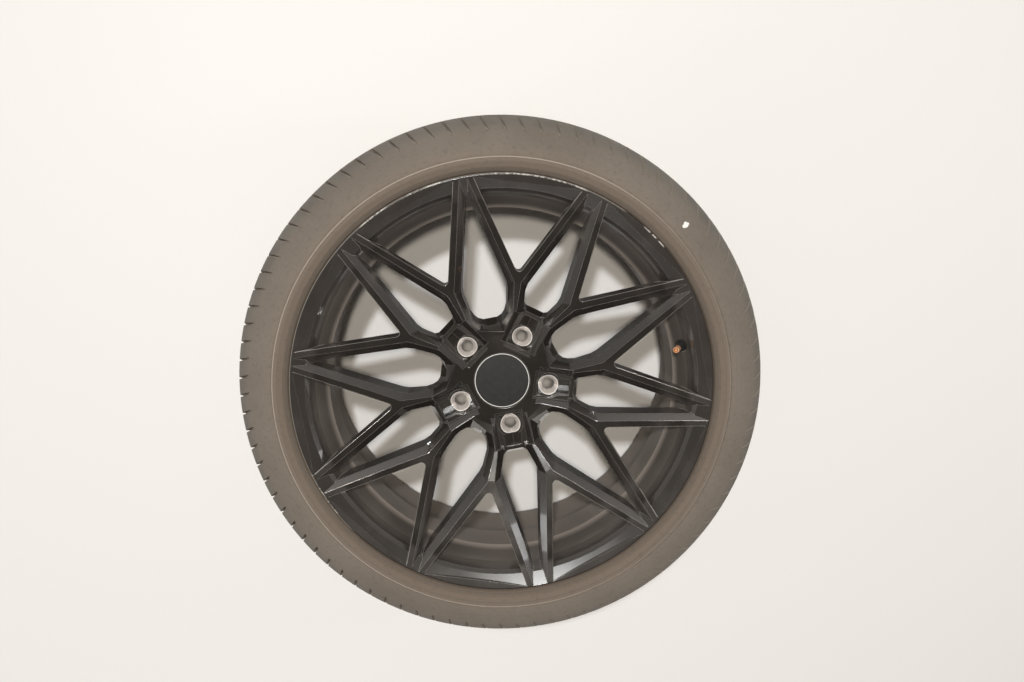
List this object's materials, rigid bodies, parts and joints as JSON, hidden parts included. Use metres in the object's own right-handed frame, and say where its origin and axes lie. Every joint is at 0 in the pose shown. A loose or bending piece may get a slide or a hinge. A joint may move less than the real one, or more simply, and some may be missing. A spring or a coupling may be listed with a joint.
{
  "type": "alloy wheel",
  "caption": "Cast road wheel with forked spokes, its tyre, snap-in centre cap and inflation valve, lying face up; bolts to a vehicle hub by a centre bore and a bolt circle.",
  "frame": {"origin": "centre of the bore in the face that bolts to the vehicle's hub", "axes": "+Z along the wheel's axis towards the outer, visible side; +X through the first bolt hole"},
  "size_m": [0.6612, 0.661, 0.261],
  "materials": {
    "gloss_black_casting": "cast aluminium, gloss black paint, bare cones at the bolt holes",
    "tyre_rubber": "dusty grey-brown rubber",
    "black_plastic": "moulded black plastic",
    "cap_face": "gloss black face with a thin white ring",
    "spring_steel": "bare spring wire",
    "black_rubber": "moulded rubber",
    "brass": "bare coppery brass",
    "white_seal": "pale sealing ring"
  },
  "bodies": {
    "wheel": {"wheel": "gloss_black_casting", "tyre": "tyre_rubber", "centre_cap": "black_plastic", "cap_snap_ring": "spring_steel", "cap_disc": "cap_face", "valve_rubber": "black_rubber", "valve_stem": "brass", "core_body": "brass", "core_seal": "white_seal", "core_spring": "spring_steel"},
    "valve_pin": {"core_pin": "brass", "core_washer": "black_rubber"}
  },
  "joints": [
    {"name": "valve_pin_press", "type": "slide", "parent": "wheel", "child": "valve_pin", "axis": [0.4142, 0.1434, -0.8988], "range_m": [0, 0.0015], "stiffness_N_per_m": 500, "springref_m": -0.002, "deforming": ["core_spring"]}
  ]
}
